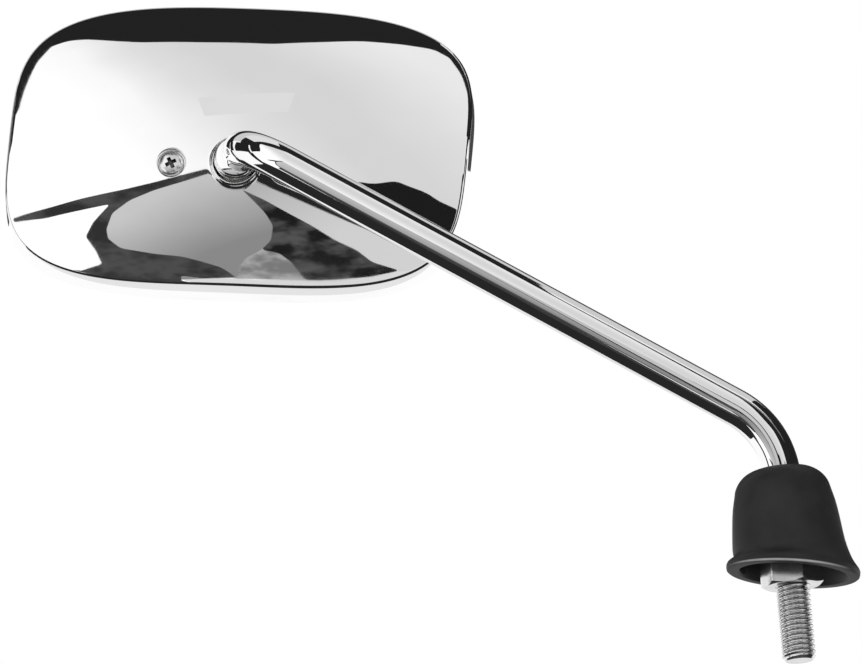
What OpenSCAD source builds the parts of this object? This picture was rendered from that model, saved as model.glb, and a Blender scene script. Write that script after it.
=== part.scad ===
// Scooter mirror on a bent stem, right-hand side, seen from the front of the vehicle.
// Origin: centre of the lock nut's lower face, on the stud's axis. +Z runs up the stud.
// The stem rises to -X, and the glass faces +Y, towards the rider.

/* [Stud and lock nut] */
// Outer diameter of the M10 thread, drawn as a plain cylinder
stud_d = 9.9; // [9.7:0.05:10]
// Length of the stud below the nut
stud_drop = 22.7; // [15:0.1:35]
// Chamfer at the stud's tip
stud_chamfer = 1.3; // [0.5:0.1:2]
// Height of the stem's shoulder above the nut's lower face
shoulder_z = 12; // [10:0.5:16]
// Width of the nut across its flats
nut_af = 16; // [15:0.5:17]
// Height of the nut
nut_h = 8; // [5:0.5:9]
// Turn of the nut on the stud
nut_turn = -8.7; // [-30:0.1:30]
// Radial play of the nut on the stud
thread_play = 0.05; // [0.02:0.01:0.09]

/* [Stem] */
// Diameter of the rod
stem_d = 10.9; // [10.4:0.1:12]
// Sideways distance from the stud to the neck
reach = 147.2; // [110:1:180]
// Height of the neck above the nut's lower face
rise = 146.6; // [130:1:180]
// Length of the boot's neck that reaches past the start of the lower bend
bend_overlap = 2.7; // [0:0.1:4]
// Centreline radius of the lower bend
lower_bend_r = 27; // [22:1:30]
// Centreline radius of the bend at the neck
neck_bend_r = 15; // [12:0.5:16]

/* [Ball joint] */
// Distance from the stem's plane to the ball's centre
ball_y = 34.5; // [34:0.5:45]
// Diameter of the ball
ball_d = 15; // [14:0.5:15.5]
// Diameter of the spigot behind the ball
spigot_d = 7; // [6.5:0.1:7.2]
// Diameter of the riveted pin through the ball
pin_d = 6; // [5:0.1:6.2]
// Wall of the friction liners
liner_t = 1.7; // [1.4:0.1:1.8]
// Clearance between each pair of ball faces
ball_play = 0.1; // [0.05:0.01:0.15]
// Gap between the two liners at rest
liner_split = 3.2; // [3:0.1:4]
// Outer diameter of the neck collar
collar_d = 15; // [14:0.5:15.5]
// Height from the ball's centre to the rod's shoulder
collar_top = 17; // [16.5:0.1:18]
// Outer diameter of the shell's turret
turret_d = 19; // [17.5:0.1:20]
// Diameter of the turret's mouth
mouth_d = 14; // [13.8:0.1:14.4]
// Radius of the turret's domed top, from the ball's centre
turret_r = 13.5; // [13.2:0.1:13.8]
// Gap between the collar and the turret
collar_gap = 0.3; // [0.25:0.05:0.4]

/* [Head] */
// Width of the shell at its edge fillet
head_w = 134.6; // [120:1:150]
// Height of the shell at its edge fillet
head_h = 83.8; // [76:1:95]
// Squareness of the outline towards its ends
end_power = 3.41; // [2.8:0.05:4]
// Squareness of the outline towards its top and bottom
top_power = 3.83; // [3:0.05:4.5]
// Sideways lean of the outline per millimetre of height
lean = 0.058; // [0:0.005:0.1]
// Turn of the head on the ball, as it was set
head_roll = 7.5; // [0:0.1:15]
// Outline's centre to the right of the ball
centre_x = -1.3; // [-5:0.1:5]
// Outline's centre above the ball
centre_y = 6.5; // [3:0.1:8]
// Height of the skin above the ball's centre
skin_h = 9; // [8.8:0.1:9.2]
// Rise of the dome inside the edge fillet
dome_rise = 10.5; // [8:0.5:12]
// Radius of the edge fillet
edge_r = 2; // [1:0.5:5]
// Depth of the side wall in front of the fillet
side_depth = 17.8; // [15:0.1:19]
// Outward draft of the side wall over its depth
side_draft = 0.3; // [0.3:0.1:1.5]
// Wall thickness of the shell
wall = 2.2; // [1.8:0.1:2.4]

/* [Glass unit] */
// Thickness of the glass
glass_t = 2; // [1.8:0.1:2.4]
// Radius of the convex glass
glass_r = 1200; // [1000:50:1800]
// Recess of the glass behind the shell's edge at its centre
glass_recess = 0.4; // [0.2:0.1:1]
// Thickness of the holder's plate
holder_t = 2; // [1.6:0.1:2.4]
// Width of the holder's rim around the glass
holder_rim = 1.3; // [1:0.1:2]
// Assembly gap between the shell, the holder and the glass
fit_gap = 0.15; // [0.1:0.05:0.2]
// Least thickness of the foam pad, at its ends
pad_t = 0.5; // [0.4:0.1:0.8]

/* [Fasteners] */
// Radius of the circle of clamp screws
clamp_r = 16; // [15.5:0.1:16.5]
// Diameter of the clamp screws
clamp_screw_d = 3; // [2.9:0.1:3]
// Height of the spring washers
washer_h = 0.9; // [0.7:0.1:1.1]
// Thickness of the clamp plate
plate_t = 2; // [1.8:0.1:2.2]
// Back screw to the right of the ball
back_screw_x = -20.8; // [-22:0.1:-20]
// Back screw above the ball
back_screw_y = -1.5; // [-3:0.1:0]
// Diameter of the back screw
back_screw_d = 4; // [3.5:0.1:4.2]
// Diameter of the back screw's head
back_head_d = 7.8; // [7:0.1:8]
// Height of the back screw's head
back_head_h = 2.4; // [2:0.1:2.8]
// Depth of the seat below the top of the dome
back_seat = 3.2; // [3:0.1:3.4]

/* [Boot] */
// Height of the boot's top
boot_top = 34.6; // [34:0.1:36]
// Radius of the boot's shoulder
boot_shoulder_r = 13.2; // [12.5:0.1:13.5]
// Radius of the boot above its flare
boot_waist_r = 16.6; // [16:0.1:17.5]
// Radius of the boot's base lip
boot_lip_r = 19.4; // [18.5:0.1:20.5]
// Radius of the hollow at the base
boot_hollow_r = 13.8; // [13.5:0.1:14.5]
// Wall thickness of the boot
boot_wall = 3; // [2.6:0.1:3.2]
// Slope of the boot's base
boot_slope = 8.4; // [0:0.1:10]
// Height of the base's centre
boot_base_z = 3.4; // [3:0.1:4]
// Radial play of the boot's neck on the stem
boot_play = 0.05; // [0.02:0.01:0.09]

/* [Hidden] */

// Stem: the straight run is the tangent from the neck to the lower bend.
stem_r = stem_d / 2;
stud_r = stud_d / 2;
bend_z = boot_top - bend_overlap;
neck_across = reach - lower_bend_r;
neck_up = rise - bend_z;
neck_away = sqrt(neck_across * neck_across + neck_up * neck_up);
run_angle = atan2(neck_up, neck_across) - asin(lower_bend_r / neck_away);
bend_turn = 90 - run_angle;
run_length = sqrt(neck_away * neck_away - lower_bend_r * lower_bend_r) - neck_bend_r;
groove_h = 0.6;
groove_in = 0.35;
seam_t = 0.2;
seam_proud = 0.01;

// Ball joint, in heights above the ball's centre towards the back of the shell.
ball_r = ball_d / 2;
spigot_r = spigot_d / 2;
pin_r = pin_d / 2;
spigot_end = ball_r - 2;
rivet_r = pin_r + 0.6;
rivet_top = ball_r - 1.1;
rivet_h = 1;
liner_in = ball_r + ball_play;
liner_out = liner_in + liner_t;
socket_r = liner_out + ball_play;
liner_low = liner_split / 2;
rear_liner_h = 6;
front_liner_h = 6.8;
collar_edge = 1.8;
turret_foot = 2;
socket_wall = 3.2;
socket_top = skin_h - 2.8;
socket_cone_h = 2;
socket_low = 1.4;
plate_top = -1.4;
dish_end = 10.2;
dish_hole_r = 3.5;
ear_r = 5;
clamp_screw_r = clamp_screw_d / 2;
clamp_hole_play = 0.05;
clamp_angles = [30, 150, 270];
clamp_boss_r = 3.5;
clamp_boss_gap = 0.5;
clamp_hole_h = 14;
clamp_head_r = 2.8;
clamp_head_h = 2;
clamp_screw_end = 2.8;
clamp_hole_end = 3.4;

// Head, in the same heights.
dome_edge_h = skin_h - dome_rise;
fillet_turn = 62;
fillet_in = edge_r * (1 - cos(fillet_turn));
fillet_h = edge_r * sin(fillet_turn);
side_h = dome_edge_h - fillet_h;
front_h = side_h - side_depth;
glass_front = front_h + glass_recess;
glass_half_w = head_w / 2 + side_draft - wall - fit_gap - holder_rim - fit_gap;
glass_half_h = glass_half_w - (head_w - head_h) / 2;
glass_bow = glass_r - sqrt(glass_r * glass_r - glass_half_w * glass_half_w);
holder_front = glass_front + glass_t + glass_bow + pad_t;
holder_back = holder_front + holder_t;
ledge_w = 2.2;
ledge_t = 1.6;
ledge_blend = 2;
rib_inset = 23;
rib_h = 3;
rib_t = 1.6;
back_seat_h = skin_h - back_seat;
back_boss_r = 5.8;
back_boss_end = -1;
back_screw_end = -9.4;
holder_boss_r = 4.3;
recess_r = back_head_d / 2 + 0.45;

// Outline and skin resolution.
AROUND = 72;
DOME_STEPS = 7;
FILLET_STEPS = 3;
FINE = 96;
SMALL = 48;
TINY = 0.01;

// Boot.
boot_r = stem_r + boot_play;
boot_land_h = 4;
boot_top_r = boot_r + 0.5;
boot_lip_t = 2.4;
boot_lip_x = 0.85;
boot_flare_h = 8.4;
boot_roof = 4.2;
boot_round = 6.2;
boot_bulge = 0.3;

// Signed power, for the outline's corners.
function signed_pow(v, p) = sign(v) * pow(abs(v), p);

// One point of the outline with half sizes a and b at angle t, leaning with its height.
function rim_point(a, b, t) =
    let (x = a * signed_pow(cos(t), 2 / end_power), y = b * signed_pow(sin(t), 2 / top_power))
    [x + lean * y, y];

// The whole outline, moved in or out by d from the shell's edge.
function rim(d) = [for (i = [0 : AROUND - 1])
    rim_point(head_w / 2 + d, head_h / 2 + d, 360 * i / AROUND)];

// Height of the dome over a point that is measured from the outline's centre.
function dome_at(p) = skin_h - dome_rise
    * (pow((p[0] - lean * p[1]) / (head_w / 2), 2) + pow(p[1] / (head_h / 2), 2));

// Height of the crease where the dome meets the edge fillet. It is lowest at the corners.
crease = [for (p = rim(-fillet_in)) dome_at(p)];

// A level ring of the skin: the outline moved by d, at height h.
function ring(d, h) = [for (p = rim(d)) [p[0] + centre_x, p[1] + centre_y, h]];

// A ring that follows the crease, below it by drop.
function edge_ring(d, drop) = let (r = rim(d))
    [for (i = [0 : AROUND - 1]) [r[i][0] + centre_x, r[i][1] + centre_y, crease[i] - drop]];

// A ring of the dome: the outline moved by d and scaled by s, under the dome by depth.
function dome_ring(d, s, depth) = [for (p = rim(d)) let (q = p * s)
    [q[0] + centre_x, q[1] + centre_y, dome_at(q) - depth]];

// Top of a boss of radius r at place p, sunk halfway into the skin at its farthest side.
function boss_top(p, r) = let (q = [p[0] - centre_x, p[1] - centre_y])
    dome_at(q * (1 + r / norm(q))) - wall / 2;

// Scales of the dome's rings, from its edge to a small cap.
function dome_scale(i, steps) = cos(86 * i / steps);

// The skin's rings in order: outside from the front edge to the top, then inside and back.
inner_edge = -fillet_in - wall * 0.75;
skin_rings = concat(
    [ring(side_draft, front_h)],
    [for (i = [0 : FILLET_STEPS]) let (t = fillet_turn * i / FILLET_STEPS)
        edge_ring(-edge_r * (1 - cos(t)), fillet_h - edge_r * sin(t))],
    [for (i = [1 : DOME_STEPS]) dome_ring(-fillet_in, dome_scale(i, DOME_STEPS), 0)],
    [for (i = [DOME_STEPS : -1 : 1]) dome_ring(inner_edge, dome_scale(i, DOME_STEPS), wall)],
    [dome_ring(inner_edge, 1, wall),
     edge_ring(-wall, fillet_h + wall),
     ring(-wall, holder_back + ledge_t + ledge_blend),
     ring(-wall - ledge_w, holder_back + ledge_t),
     ring(-wall - ledge_w, holder_back),
     ring(-wall + side_draft * 0.5, holder_back),
     ring(side_draft - wall, front_h)]);

// Skin as one closed mesh: neighbouring rings are joined, and both domes are capped.
// A cell between two rings is two triangles. The two caps are the dome's inner and outer tops.
module skin() {
    rings = len(skin_rings);
    cap = 2 + FILLET_STEPS + DOME_STEPS - 1;
    function at(r, i) = (r % rings) * AROUND + i % AROUND;
    faces = concat(
        [for (r = [0 : rings - 1]) if (r != cap) for (i = [0 : AROUND - 1])
            [at(r, i), at(r + 1, i), at(r + 1, i + 1)]],
        [for (r = [0 : rings - 1]) if (r != cap) for (i = [0 : AROUND - 1])
            [at(r, i), at(r + 1, i + 1), at(r, i + 1)]],
        [[for (i = [0 : AROUND - 1]) at(cap, AROUND - 1 - i)]],
        [[for (i = [0 : AROUND - 1]) at(cap + 1, i)]]);
    polyhedron([for (r = skin_rings) each r], faces);
}

// Flat plate with the head's outline moved by d, between two heights.
module outline_plate(d, low, high) {
    translate([centre_x, centre_y, low]) linear_extrude(high - low) polygon(rim(d));
}

// Places a piece on the ball: its own +Z is the back of the shell, its +Y the head's top.
module on_ball() {
    translate([-reach, ball_y, rise]) rotate([0, head_roll, 0]) rotate([90, 0, 0]) children();
}

module at_clamp_screws() {
    for (a = clamp_angles) rotate([0, 0, a]) translate([clamp_r, 0, 0]) rotate([0, 0, -a]) children();
}

// Bent rod with its stud, its spigot and the riveted pin that carries the ball.
// Each length starts in the frame that the one before it ends in. A thin disc closes the seam
// between the lower bend and the straight run.
module stem() {
    color("gainsboro") {
        translate([0, 0, -stud_drop]) cylinder(h = stud_chamfer, r1 = stud_r - stud_chamfer * 0.75,
            r2 = stud_r, $fn = FINE);
        translate([0, 0, stud_chamfer - stud_drop])
            cylinder(h = stud_drop - stud_chamfer, r = stud_r, $fn = FINE);
        cylinder(h = groove_h, r = stud_r - groove_in, $fn = FINE);
        translate([0, 0, groove_h]) cylinder(h = shoulder_z - groove_h, r = stud_r, $fn = FINE);
        translate([0, 0, shoulder_z]) cylinder(h = bend_z - shoulder_z, r = stem_r, $fn = FINE);
        translate([-lower_bend_r, 0, bend_z]) {
            rotate([90, 0, 0]) rod_bend(lower_bend_r, bend_turn);
            rotate([0, -bend_turn, 0]) translate([lower_bend_r, 0, 0]) {
                translate([0, 0, -seam_t / 2]) cylinder(h = seam_t, r = stem_r + seam_proud, $fn = FINE);
                cylinder(h = run_length, r = stem_r, $fn = FINE);
                translate([0, neck_bend_r, run_length]) {
                    rotate([90, 0, -90]) rod_bend(neck_bend_r, 90);
                    translate([0, ball_y - neck_bend_r, neck_bend_r]) rotate([90, 0, 0]) spigot();
                }
            }
        }
    }
}

module rod_bend(bend_r, turn) {
    rotate_extrude(angle = turn, $fn = 4 * FINE) translate([bend_r, 0]) circle(r = stem_r, $fn = FINE);
}

module spigot() {
    translate([0, 0, collar_top]) cylinder(h = ball_y - neck_bend_r - collar_top, r = stem_r, $fn = FINE);
    translate([0, 0, spigot_end]) cylinder(h = collar_top - spigot_end, r = spigot_r, $fn = FINE);
    translate([0, 0, -rivet_top]) cylinder(h = spigot_end + rivet_top, r = pin_r, $fn = FINE);
    translate([0, 0, -rivet_top]) cylinder(h = rivet_h, r = rivet_r, $fn = FINE);
}

module stem_ball() {
    color("silver") on_ball() difference() {
        sphere(r = ball_r, $fn = FINE);
        translate([0, 0, -ball_r]) cylinder(h = ball_d, r = pin_r, $fn = FINE);
        translate([0, 0, spigot_end]) cylinder(h = ball_r, r = spigot_r, $fn = FINE);
        translate([0, 0, rivet_h - rivet_top - ball_r]) cylinder(h = ball_r, r = rivet_r, $fn = FINE);
    }
}

// Turned ferrule on the spigot; its underside is a sphere about the ball's centre.
module neck_collar() {
    color("gainsboro") on_ball() difference() {
        union() {
            translate([0, 0, ball_r]) cylinder(h = collar_top - collar_edge - ball_r, d = collar_d, $fn = FINE);
            translate([0, 0, collar_top - collar_edge])
                cylinder(h = collar_edge, r1 = collar_d / 2, r2 = stem_r + 0.4, $fn = FINE);
        }
        sphere(r = turret_r + collar_gap, $fn = FINE);
        cylinder(h = collar_top + 1, r = spigot_r, $fn = FINE);
    }
}

// Nylon friction ring between the ball and a socket, from height low to high.
module liner(low, high) {
    difference() {
        sphere(r = liner_out, $fn = FINE);
        sphere(r = liner_in, $fn = FINE);
        translate([0, 0, -liner_out]) cylinder(h = liner_out + low, r = ball_d, $fn = SMALL);
        translate([0, 0, high]) cylinder(h = liner_out, r = ball_d, $fn = SMALL);
    }
}

module rear_liner() {
    color("ivory") on_ball() liner(liner_low, rear_liner_h);
}

module front_liner() {
    color("ivory") on_ball() mirror([0, 0, 1]) liner(liner_low, front_liner_h);
}

// Chromed shell: skin, turret, ball socket, and the bosses of the screws.
module back_shell() {
    color("gainsboro") on_ball() difference() {
        union() {
            skin();
            turret();
            translate([0, 0, socket_low])
                cylinder(h = socket_top - socket_low, r = socket_r + socket_wall, $fn = FINE);
            translate([0, 0, socket_top])
                cylinder(h = socket_cone_h, r1 = socket_r + socket_wall, r2 = turret_d / 2, $fn = FINE);
            for (a = clamp_angles) let (p = clamp_r * [cos(a), sin(a)], low = plate_top + clamp_boss_gap)
                translate([p[0], p[1], low])
                    cylinder(h = boss_top(p, clamp_boss_r) - low, r = clamp_boss_r, $fn = SMALL);
            translate([back_screw_x, back_screw_y, back_boss_end])
                cylinder(h = boss_top([back_screw_x, back_screw_y], back_boss_r) - back_boss_end,
                    r = back_boss_r, $fn = SMALL);
        }
        sphere(r = socket_r, $fn = FINE);
        cylinder(h = turret_r + 1, d = mouth_d, $fn = FINE);
        at_clamp_screws() translate([0, 0, plate_top])
            cylinder(h = clamp_hole_end - plate_top, r = clamp_screw_r + clamp_hole_play, $fn = SMALL);
        translate([back_screw_x, back_screw_y, back_boss_end - 1])
            cylinder(h = skin_h, r = back_screw_d / 2 + fit_gap, $fn = SMALL);
        translate([back_screw_x, back_screw_y, back_seat_h]) cylinder(h = skin_h, r = recess_r, $fn = SMALL);
    }
}

module turret() {
    intersection() {
        union() {
            translate([0, 0, skin_h - wall]) cylinder(h = turret_r, d = turret_d, $fn = FINE);
            translate([0, 0, skin_h - wall])
                cylinder(h = wall + 0.9, r1 = turret_d / 2 + turret_foot * 1.6, r2 = turret_d / 2, $fn = FINE);
        }
        sphere(r = turret_r, $fn = FINE);
    }
}

// Moulded holder: plate on the shell's ledge, rim around the glass, ribs and screw boss.
module glass_holder() {
    color("dimgray") on_ball() difference() {
        union() {
            difference() {
                outline_plate(side_draft - wall - fit_gap - side_draft * 0.5, front_h + 1, holder_back);
                outline_plate(side_draft - wall - fit_gap - holder_rim, front_h, holder_front);
            }
            translate([back_screw_x, back_screw_y, holder_front])
                cylinder(h = back_boss_end - holder_front, r = holder_boss_r, $fn = SMALL);
            holder_ribs();
        }
        translate([back_screw_x, back_screw_y, back_screw_end - 0.6])
            cylinder(h = skin_h, r = back_screw_d / 2 + clamp_hole_play, $fn = SMALL);
    }
}

// Stiffening ribs on the back of the holder's plate, clear of the clamp.
module holder_ribs() {
    half_x = head_w / 2 - rib_inset;
    half_y = head_h / 2 - rib_inset / 2;
    translate([centre_x, centre_y, holder_back - TINY]) {
        for (x = [-half_x, half_x]) translate([x - rib_t / 2, -half_y, 0]) cube([rib_t, 2 * half_y, rib_h]);
        for (y = [-half_y * 0.85, half_y * 0.8]) translate([-half_x, y - rib_t / 2, 0])
            cube([2 * half_x, rib_t, rib_h]);
    }
}

// Convex glass: a slice between two spheres about one centre.
module mirror_glass() {
    color("lightsteelblue") on_ball() intersection() {
        outline_plate(side_draft - wall - 2 * fit_gap - holder_rim, front_h - 1, holder_front);
        translate([centre_x, centre_y, glass_front + glass_r]) difference() {
            sphere(r = glass_r, $fn = 4 * FINE);
            sphere(r = glass_r - glass_t, $fn = 4 * FINE);
        }
    }
}

module glass_pad() {
    color("darkslategray") on_ball() intersection() {
        outline_plate(side_draft - wall - 2 * fit_gap - holder_rim - 2, front_h, holder_front);
        translate([centre_x, centre_y, glass_front + glass_r])
            sphere(r = glass_r - glass_t, $fn = 4 * FINE);
    }
}

// Pressed plate whose dish draws the front liner on to the ball.
module clamp_plate() {
    color("darkgray") on_ball() difference() {
        union() {
            translate([0, 0, plate_top - plate_t]) linear_extrude(plate_t) plate_outline();
            intersection() {
                sphere(r = socket_r + plate_t, $fn = FINE);
                translate([0, 0, -dish_end]) cylinder(h = dish_end + plate_top, r = clamp_r, $fn = FINE);
            }
        }
        sphere(r = socket_r, $fn = FINE);
        translate([0, 0, -dish_end - 1]) cylinder(h = dish_end, r = dish_hole_r, $fn = SMALL);
        at_clamp_screws() translate([0, 0, plate_top - plate_t - 1])
            cylinder(h = plate_t + 2, r = clamp_screw_r + fit_gap, $fn = SMALL);
    }
}

module plate_outline() {
    circle(r = socket_r + plate_t + 1, $fn = FINE);
    for (a = clamp_angles) rotate(a) {
        translate([clamp_r, 0]) circle(r = ear_r, $fn = SMALL);
        translate([0, -ear_r]) square([clamp_r, 2 * ear_r]);
    }
}

// Three clamp screws, heads towards the glass.
module clamp_screws() {
    head_h = plate_top - plate_t - washer_h;
    color("goldenrod") on_ball() at_clamp_screws() difference() {
        union() {
            translate([0, 0, head_h]) cylinder(h = clamp_screw_end - head_h, r = clamp_screw_r, $fn = SMALL);
            translate([0, 0, head_h - clamp_head_h]) cylinder(h = clamp_head_h, r = clamp_head_r, $fn = SMALL);
        }
        translate([0, 0, head_h - clamp_head_h - TINY]) cross_recess(clamp_head_r * 0.62, clamp_head_h * 0.6);
    }
}

// Two slots that cross, cut upwards from z = 0.
module cross_recess(reach_r, depth) {
    slot_w = reach_r * 0.42;
    for (a = [0, 90]) rotate([0, 0, a]) translate([-reach_r, -slot_w / 2, 0]) cube([2 * reach_r, slot_w, depth]);
}

// Coned spring washers between the clamp plate and the screw heads.
module spring_washers() {
    color("silver") on_ball() at_clamp_screws() translate([0, 0, plate_top - plate_t - washer_h])
        difference() {
            cylinder(h = washer_h, r1 = clamp_head_r, r2 = clamp_head_r + 0.9, $fn = SMALL);
            translate([0, 0, -TINY]) cylinder(h = washer_h + 2 * TINY, r = clamp_screw_r + fit_gap, $fn = SMALL);
        }
}

// Pan-head screw with a cross recess, from the back of the shell into the holder.
module back_screw() {
    top = back_seat_h + back_head_h;
    color("silver") on_ball() translate([back_screw_x, back_screw_y, 0]) difference() {
        union() {
            translate([0, 0, back_screw_end])
                cylinder(h = back_seat_h - back_screw_end, d = back_screw_d, $fn = SMALL);
            intersection() {
                translate([0, 0, back_seat_h]) cylinder(h = back_head_h, d = back_head_d, $fn = FINE);
                translate([0, 0, top - back_head_d]) sphere(r = back_head_d, $fn = FINE);
            }
        }
        translate([0, 0, top - back_head_h * 0.7]) cross_recess(back_head_d * 0.3, back_head_h);
    }
}

// Rubber boot over the nut: a rounded cone on a base lip that is cut on the slant.
module boot() {
    color("#262626") difference() {
        union() {
            rotate_extrude($fn = FINE) boot_profile();
            on_base() rotate_extrude($fn = FINE) lip_profile();
        }
        rotate_extrude($fn = FINE) hollow_profile();
        on_base() translate([0, 0, -boot_lip_r]) cylinder(h = boot_lip_r, r = 2 * boot_lip_r, $fn = FINE);
        cylinder(h = boot_top + 1, r = boot_r, $fn = FINE);
        translate([0, 0, boot_top - boot_land_h])
            cylinder(h = boot_land_h + TINY, r1 = boot_r, r2 = boot_top_r, $fn = FINE);
    }
}

module on_base() {
    translate([boot_lip_x, 0, boot_base_z]) rotate([0, boot_slope, 0]) children();
}

// Outer form: straight cone, with a round shoulder as an arc.
module boot_profile() {
    low = boot_base_z - boot_lip_r * sin(boot_slope);
    shoulder_z = boot_top - boot_round;
    mid_r = (boot_waist_r + boot_shoulder_r) / 2 + boot_bulge;
    mid_z = (boot_base_z + boot_flare_h + shoulder_z) / 2;
    polygon(concat(
        [[0, low], [boot_waist_r + 0.4, low], [boot_waist_r, boot_base_z + boot_flare_h], [mid_r, mid_z]],
        [for (t = [0 : 15 : 90])
            [boot_shoulder_r - boot_round + boot_round * cos(t), shoulder_z + boot_round * sin(t)]],
        [[0, boot_top]]));
}

// Lip: a flat edge, then a hollow curve up to the cone.
module lip_profile() {
    sweep = boot_lip_r - boot_waist_r + 1.8;
    polygon(concat(
        [[boot_hollow_r - 1, 0], [boot_lip_r - 0.5, 0], [boot_lip_r, 0.6], [boot_lip_r, boot_lip_t]],
        [for (t = [15 : 15 : 90])
            [boot_lip_r - sweep * sin(t), boot_lip_t + (boot_flare_h - boot_lip_t) * (1 - cos(t))]],
        [[boot_hollow_r - 1, boot_flare_h]]));
}

module hollow_profile() {
    low = boot_base_z - boot_lip_r;
    roof_z = boot_top - boot_roof - boot_land_h;
    polygon([[0, low], [boot_hollow_r, low], [boot_hollow_r, boot_base_z + boot_flare_h],
        [boot_shoulder_r - boot_wall, roof_z - 2], [boot_shoulder_r - boot_wall - 2, roof_z], [0, roof_z]]);
}

// Hexagon nut with chamfered corners on both faces.
module lock_nut() {
    corner_r = nut_af / sqrt(3);
    edge = (corner_r - nut_af / 2) * tan(30);
    color("gainsboro") rotate([0, 0, nut_turn]) difference() {
        intersection() {
            cylinder(h = nut_h, r = corner_r, $fn = 6);
            union() {
                cylinder(h = edge, r1 = nut_af / 2, r2 = corner_r, $fn = FINE);
                translate([0, 0, edge]) cylinder(h = nut_h - 2 * edge, r = corner_r, $fn = FINE);
                translate([0, 0, nut_h - edge]) cylinder(h = edge, r1 = corner_r, r2 = nut_af / 2, $fn = FINE);
            }
        }
        translate([0, 0, -1]) cylinder(h = nut_h + 2, r = stud_r + thread_play, $fn = FINE);
    }
}

stem();
stem_ball();
neck_collar();
rear_liner();
front_liner();
back_shell();
glass_holder();
glass_pad();
mirror_glass();
clamp_plate();
clamp_screws();
spring_washers();
back_screw();
boot();
lock_nut();
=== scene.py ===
# %% [markdown]
# # A scooter mirror, dressed over its CAD frame
#
# The imported CAD model is the skeleton: every solid has its true place and size in metres.
# This lesson loads it and then builds smooth visual pieces over the visible
# solids, gives each hidden solid a finish, and sets up a studio for chrome.

# %% Load the frame
import math

import bmesh
import bpy
from mathutils import Matrix, Vector


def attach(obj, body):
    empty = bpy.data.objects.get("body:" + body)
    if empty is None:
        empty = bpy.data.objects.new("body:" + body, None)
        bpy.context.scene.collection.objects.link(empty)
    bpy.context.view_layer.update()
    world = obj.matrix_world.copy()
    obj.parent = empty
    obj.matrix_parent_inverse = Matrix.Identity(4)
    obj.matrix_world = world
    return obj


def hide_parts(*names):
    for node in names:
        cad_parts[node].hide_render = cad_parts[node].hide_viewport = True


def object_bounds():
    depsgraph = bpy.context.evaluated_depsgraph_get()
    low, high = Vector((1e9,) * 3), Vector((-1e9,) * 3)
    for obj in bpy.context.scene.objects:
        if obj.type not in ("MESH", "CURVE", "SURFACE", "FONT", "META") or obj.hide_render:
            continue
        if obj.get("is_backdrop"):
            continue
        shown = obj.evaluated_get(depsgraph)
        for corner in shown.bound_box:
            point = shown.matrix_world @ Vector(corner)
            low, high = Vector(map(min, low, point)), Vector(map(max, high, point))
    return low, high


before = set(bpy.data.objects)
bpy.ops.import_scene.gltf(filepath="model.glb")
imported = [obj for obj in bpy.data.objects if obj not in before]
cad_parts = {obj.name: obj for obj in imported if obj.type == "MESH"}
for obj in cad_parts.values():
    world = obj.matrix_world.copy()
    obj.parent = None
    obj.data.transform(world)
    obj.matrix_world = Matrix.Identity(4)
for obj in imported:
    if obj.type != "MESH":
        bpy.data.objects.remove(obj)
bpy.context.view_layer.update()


def box_numbers():
    """The lowest and highest corner of everything that belongs to the object, as plain lists."""
    low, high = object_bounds()
    return [[round(c, 6) for c in low], [round(c, 6) for c in high]]


# %% [markdown]
# ## One scale, two frames
#
# Sizes are easier to think about in millimetres, and Blender's unit is the metre. The stem and
# the boot are drawn in the row's own axes. The head is turned by 7.5 degrees on its ball, so its
# pieces are drawn in the ball's own axes (right, up, back) and turned into place once, at the end.

# %% Frames of reference
MM = 0.001
BALL = Vector((-147.2, 34.5, 146.6))
HEAD_ROLL = math.radians(7.5)
ROW_FRAME = Matrix.Scale(MM, 4)
right = Vector((math.cos(HEAD_ROLL), 0, -math.sin(HEAD_ROLL)))
up = Vector((math.sin(HEAD_ROLL), 0, math.cos(HEAD_ROLL)))
back = Vector((0, -1, 0))
head_axes = Matrix((right, up, back)).transposed().to_4x4()
HEAD_FRAME = Matrix.Scale(MM, 4) @ Matrix.Translation(BALL) @ head_axes
print("ball centre in metres", HEAD_FRAME.translation)

# %% [markdown]
# ## Camera
#
# The photograph was taken from in front of and a little below the mirror, from far enough away
# that nothing converges. A very long lens eight metres away repeats that. The camera is slightly
# turned about its own axis, as the hand-held one was.

# %% Camera
IMAGE_W = 862
PX_PER_MM = 3.45
LENS, SENSOR = 1200, 36
AIM = Vector((-97.2, 0, 84.58)) * MM
FOCUS_Y = 0.022
RISE, TILT = 0.2198, 0.091
forward = Vector((0, math.sqrt(1 - RISE ** 2), RISE))
level_up = Vector((0, -RISE, math.sqrt(1 - RISE ** 2)))
turn = Matrix.Rotation(math.asin(TILT), 3, forward)
cam_up = turn @ level_up
cam_right = forward.cross(cam_up)
away = IMAGE_W / PX_PER_MM * MM * LENS / SENSOR - FOCUS_Y
cam_axes = Matrix((cam_right, cam_up, -forward)).transposed().to_4x4()
camera = bpy.data.objects.new("camera", bpy.data.cameras.new("camera"))
bpy.context.scene.collection.objects.link(camera)
camera.data.lens, camera.data.sensor_width = LENS, SENSOR
camera.data.clip_start, camera.data.clip_end = 0.1, 60
camera.matrix_world = Matrix.Translation(AIM - forward * away) @ cam_axes
bpy.context.scene.camera = camera
bpy.context.scene.view_settings.view_transform = "Standard"
print("camera", round(away, 3), "m away, right", [round(c, 3) for c in cam_right])

# %% [markdown]
# ## Shader maths as plain expressions
#
# A node tree gets long quickly. This small class wraps one output socket, so `mask * 0.3 + 0.1`
# adds its own Math nodes. Colours go through Mix nodes, and `node` makes any other node.

# %% A wrapper for sockets


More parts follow.
